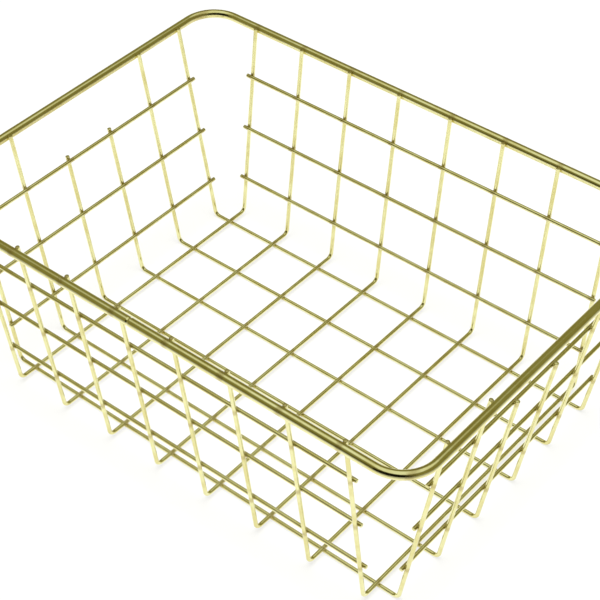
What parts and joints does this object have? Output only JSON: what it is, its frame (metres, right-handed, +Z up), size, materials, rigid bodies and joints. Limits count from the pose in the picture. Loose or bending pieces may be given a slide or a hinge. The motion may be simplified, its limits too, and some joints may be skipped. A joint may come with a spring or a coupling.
{
  "type": "wire locker basket",
  "caption": "Open rectangular basket of bent and welded round wire with tapered sides, a heavier rod rim and a hand-hold gap in each end.",
  "frame": {"origin": "on the surface that the basket stands on, under the middle of the rim", "axes": "+Z up, X along the basket, Y across it; the front is the long side at -Y, whose rim carries the butt weld"},
  "size_m": [0.356, 0.256, 0.142],
  "materials": {
    "gold_plated_wire": "polished light gold plating over bright steel wire"
  },
  "bodies": {
    "root": {"rim": "gold_plated_wire", "width_wire_1": "gold_plated_wire", "width_wire_2": "gold_plated_wire", "width_wire_3": "gold_plated_wire", "width_wire_4": "gold_plated_wire", "width_wire_5": "gold_plated_wire", "width_wire_6": "gold_plated_wire", "width_wire_7": "gold_plated_wire", "width_wire_8": "gold_plated_wire", "length_wire_1": "gold_plated_wire", "length_wire_2": "gold_plated_wire", "length_wire_3": "gold_plated_wire", "length_wire_4": "gold_plated_wire", "length_wire_5": "gold_plated_wire", "length_wire_6": "gold_plated_wire", "front_rail_bottom": "gold_plated_wire", "front_rail_middle": "gold_plated_wire", "front_rail_top": "gold_plated_wire", "back_rail_bottom": "gold_plated_wire", "back_rail_middle": "gold_plated_wire", "back_rail_top": "gold_plated_wire", "left_rail_bottom": "gold_plated_wire", "left_rail_middle": "gold_plated_wire", "left_rail_top": "gold_plated_wire", "right_rail_bottom": "gold_plated_wire", "right_rail_middle": "gold_plated_wire", "right_rail_top": "gold_plated_wire"}
  },
  "joints": []
}
